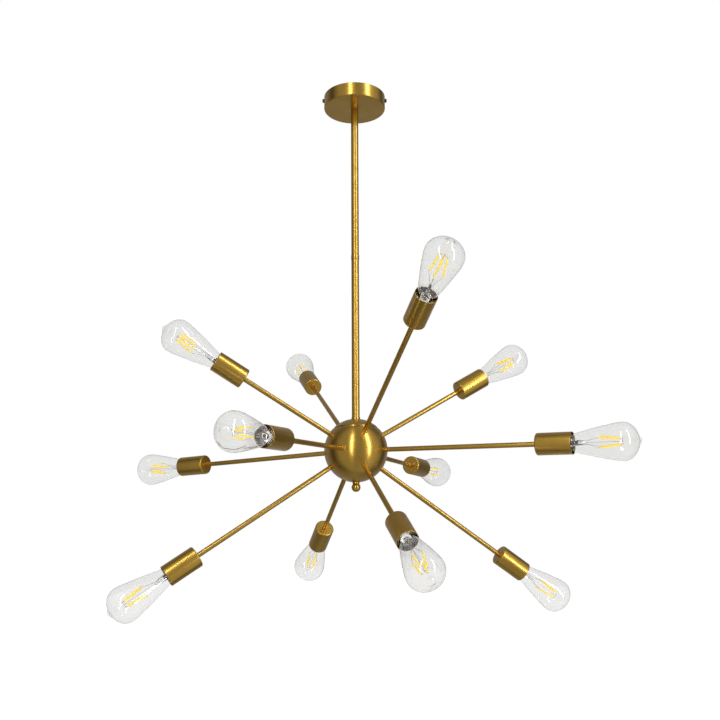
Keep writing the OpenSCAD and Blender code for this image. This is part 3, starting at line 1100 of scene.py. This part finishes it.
    def leads(self) -> Surface:
        """The wires: two leads up the mount, a centre post with a hook, and eight tails."""
        low, high = self.ends()
        top = self.mount_top
        peak = high[0, 2] + 3.2 * MM
        post = wire(np.linspace([0, 0, top - 14 * MM], [0, 0, peak], 20), 0.32 * MM)
        parts = [post]
        for way, end in enumerate(low):
            side = 1.0 if way in (0, 3) else -1.0
            root = (side * 1.7 * MM, 0.0, top - 16 * MM)
            bend = (side * 1.9 * MM, end[1] * 0.12, top + 7 * MM)
            near = tuple(end * [0.86, 0.86, 1.0] - [0, 0, 7 * MM])
            parts.append(wire(smooth_path([root, bend, near, tuple(end)], 18), 0.27 * MM))
        for end in high:
            hook = (end[0] * 0.55, end[1] * 0.55, peak - 0.2 * MM)
            over = tuple(end + [0, 0, 3.4 * MM])
            bend = smooth_path([(0, 0, peak - 0.6 * MM), hook, over, tuple(end)], 12)
            parts.append(wire(bend, 0.27 * MM))
        for end, beyond in ((low, -1.0), (high, 1.0)):
            for spot in end:
                lift = np.array([0, 0, beyond * 1.2 * MM])
                parts.append(wire(np.linspace(spot - 0.4 * lift, spot + lift, 4), 0.55 * MM))
        return Surface.joined(parts)

    def build(self) -> None:
        """Makes the bulb's pieces, which all turn with its glass."""
        f, name, place = self.finishes, self.name, self.place
        body = f"{name}_turn"
        base, glass, inside = (f"{name}_{part}" for part in ("base", "glass", "filaments"))
        piece(f"{name}_screw_cap", self.cap().moved(place), f.nickel, body, (base,))
        piece(f"{name}_insulator", self.insulator().moved(place), f.insulator, body)
        piece(f"{name}_button", self.button().moved(place), f.nickel, body)
        piece(f"{name}_envelope", self.glass().moved(place), f.glass, body, (glass,))
        piece(f"{name}_mount", self.mount().moved(place), f.mount_glass, body)
        piece(f"{name}_sticks", self.filaments().moved(place), f.filament, body, (inside,))
        piece(f"{name}_leads", self.leads().moved(place), f.lead_metal, body)


@dataclass
class Hardware:
    """The solids that keep their own shape and only take a finish."""

    finishes: Finishes
    nodes: dict[str, bpy.types.Object]

    def build(self) -> None:
        """Gives each solid its finish."""
        f = self.finishes
        dressed = {
            f.zinc: ("ceiling_bracket", "ground_screw", "stem_nipple", "rod_nuts", "hub_rod", "arm_nuts"),
            f.block: ("terminal_block",),
            f.cover: ("wires",),
            f.connector: ("wire_connectors",),
        }
        for material, names in dressed.items():
            for name in names:
                node = self.nodes[name]
                node.data.materials.clear()
                node.data.materials.append(material)
                LOG.info("%s: dressed in %s", name, material.name)


# ---------------------------------------------------------------- studio


@dataclass
class Studio:
    """The floor, the lights and the camera."""

    eye: tuple[float, float, float] = (0.0, -1.6806, -0.9203)
    tilt: float = 12.285
    pan: float = 0.293
    roll: float = -0.288
    lens: float = 44.5
    floor_height: float = -1.9
    walls: tuple[tuple[float, float], ...] = (
        (-180, 0.30), (-120, 0.26), (-92, 0.05), (-60, 0.42), (-28, 0.38), (0, 0.32),
        (30, 0.38), (75, 0.56), (98, 0.36), (116, 0.05), (140, 0.24), (180, 0.30),
    )

    def round_at(self, degrees: float, distance: float) -> tuple[float, float, float]:
        """A spot round the hub, by its turn from the camera's side towards the right."""
        a = math.radians(degrees)
        return (distance * math.sin(a), -distance * math.cos(a), 0.3)

    def camera(self) -> None:
        """Sets the camera level with the hub and looking slightly up."""
        lens = bpy.data.cameras.new("camera")
        lens.lens, lens.sensor_width = self.lens, 36.0
        lens.clip_start, lens.clip_end = 0.05, 200.0
        seen = bpy.data.objects.new("camera", lens)
        seen.location = self.eye
        seen.rotation_mode = "XYZ"
        tilt, pan, roll = (math.radians(a) for a in (self.tilt, self.pan, self.roll))
        ahead = np.array(
            [math.sin(pan) * math.cos(tilt), math.cos(pan) * math.cos(tilt), math.sin(tilt)]
        )
        right = np.cross(ahead, [0, 0, 1])
        right /= np.linalg.norm(right)
        up = np.cross(right, ahead)
        side = right * math.cos(roll) + up * math.sin(roll)
        top = up * math.cos(roll) - right * math.sin(roll)
        seen.rotation_euler = Matrix(np.stack([side, top, -ahead], axis=1).tolist()).to_euler()
        bpy.context.scene.collection.objects.link(seen)
        bpy.context.scene.camera = seen

    def light(
        self,
        name: str,
        spot: tuple[float, float, float],
        size: tuple[float, float],
        power: float,
    ) -> None:
        """A soft box that faces the lamp's hub."""
        lamp = bpy.data.lights.new(name, "AREA")
        lamp.shape, lamp.size, lamp.size_y, lamp.energy = "RECTANGLE", *size, power
        made = bpy.data.objects.new(name, lamp)
        made.location = spot
        way = Vector((0, 0, -0.6)) - Vector(spot)
        made.rotation_euler = way.to_track_quat("-Z", "Y").to_euler()
        made.visible_camera = False
        bpy.context.scene.collection.objects.link(made)

    def floor(self) -> None:
        """A wide pale floor."""
        half = 60.0
        mesh = bpy.data.meshes.new("floor")
        z = self.floor_height
        corners = [(-half, -half, z), (half, -half, z), (half, half, z), (-half, half, z)]
        mesh.from_pydata(corners, [], [(0, 1, 2, 3)])
        sheet = Sheet("floor_paint")
        shader = sheet.value(
            "ShaderNodeBsdfPrincipled",
            {},
            {
                "Base Color": (0.95, 0.95, 0.95),
                "Roughness": 0.9,
                "Emission Color": (1.0, 1.0, 1.0),
                "Emission Strength": 0.8,
            },
        )
        mesh.materials.append(sheet.finish(shader))
        made = bpy.data.objects.new("floor", mesh)
        bpy.context.scene.collection.objects.link(made)
        made.visible_glossy = False

    def air(self) -> None:
        """White to the eye and through glass; to everything that reflects, a room whose walls
        are brighter or darker with the direction round the lamp."""
        world = bpy.data.worlds.new("room")
        bpy.context.scene.world = world
        world.use_nodes = True
        tree = world.node_tree
        tree.nodes.clear()
        path = tree.nodes.new("ShaderNodeLightPath")
        direct, through = path.outputs["Is Camera Ray"], path.outputs["Is Transmission Ray"]
        seen = self.step(tree, "MAXIMUM", direct, through)
        where = tree.nodes.new("ShaderNodeTexCoord")
        apart = tree.nodes.new("ShaderNodeSeparateXYZ")
        tree.links.new(where.outputs["Generated"], apart.inputs[0])
        back = self.step(tree, "MULTIPLY", apart.outputs["Y"], -1.0)
        turn = self.step(tree, "ARCTAN2", apart.outputs["X"], back)
        share = self.step(tree, "MULTIPLY_ADD", turn, 1 / (2 * math.pi), 0.5)
        ramp = tree.nodes.new("ShaderNodeValToRGB")
        stops = ramp.color_ramp.elements
        for degrees, level in self.walls:
            place = degrees / 360 + 0.5
            stop = stops[0] if place == 0.0 else stops[-1] if place == 1.0 else stops.new(place)
            stop.color = (level, 0.985 * level, 0.96 * level, 1.0)
        tree.links.new(share, ramp.inputs["Fac"])
        white, room = (tree.nodes.new("ShaderNodeBackground") for _ in range(2))
        white.inputs["Color"].default_value = (1, 1, 1, 1)
        tree.links.new(ramp.outputs["Color"], room.inputs["Color"])
        mix = tree.nodes.new("ShaderNodeMixShader")
        tree.links.new(seen, mix.inputs[0])
        tree.links.new(room.outputs[0], mix.inputs[1])
        tree.links.new(white.outputs[0], mix.inputs[2])
        out = tree.nodes.new("ShaderNodeOutputWorld")
        tree.links.new(mix.outputs[0], out.inputs["Surface"])

    def step(
        self, tree: bpy.types.NodeTree, operation: str, *values: bpy.types.NodeSocket | float
    ) -> bpy.types.NodeSocket:
        """One step of arithmetic in the room's nodes, on sockets and numbers."""
        made = tree.nodes.new("ShaderNodeMath")
        made.operation = operation
        for place, value in enumerate(values):
            if isinstance(value, bpy.types.NodeSocket):
                tree.links.new(value, made.inputs[place])
            else:
                made.inputs[place].default_value = value
        return made.outputs[0]

    def build(self) -> None:
        """Sets up the studio."""
        self.camera()
        self.floor()
        self.air()
        self.light("left_strip", self.round_at(-15, 3.0), (0.30, 4.2), 34.0)
        self.light("right_strip", self.round_at(49, 3.0), (0.36, 4.2), 46.0)
        bpy.context.scene.view_settings.view_transform = "Standard"


def bulbs_from(joints: list[dict]) -> dict[int, tuple[np.ndarray, np.ndarray]]:
    """Where each bulb turns, by its number.

    Args:
        joints: The frame's joints.

    Returns:
        For each bulb the end of its contact and its outward axis.
    """
    found = {}
    for joint in joints:
        if joint["type"] == "hinge":
            number = int(joint["name"].split("_")[1])
            found[number] = (np.array(joint["pos_m"]), np.array(joint["axis"]))
    return found


def main() -> None:
    """Builds the lamp and its studio."""
    logging.basicConfig(level=logging.INFO, format="%(name)s: %(message)s")
    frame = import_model()
    Studio().build()
    finishes = Finishes()
    Canopy(finishes).build()
    Stem(finishes).build()
    hub = Hub(finishes)
    hub.build()
    centre = (0.0, 0.0, hub.centre)
    arms = []
    for number, (foot, axis) in sorted(bulbs_from(frame["joints"]).items()):
        reach = float(np.linalg.norm(foot - np.array(centre))) - BULB_SEAT
        arms.append(Arm(tuple(axis), centre, reach))
        Bulb(finishes, number, Place(tuple(foot), tuple(axis))).build()
    Arms(finishes, arms).build()
    Hardware(finishes, frame["nodes"]).build()


if __name__ == "__main__":
    main()
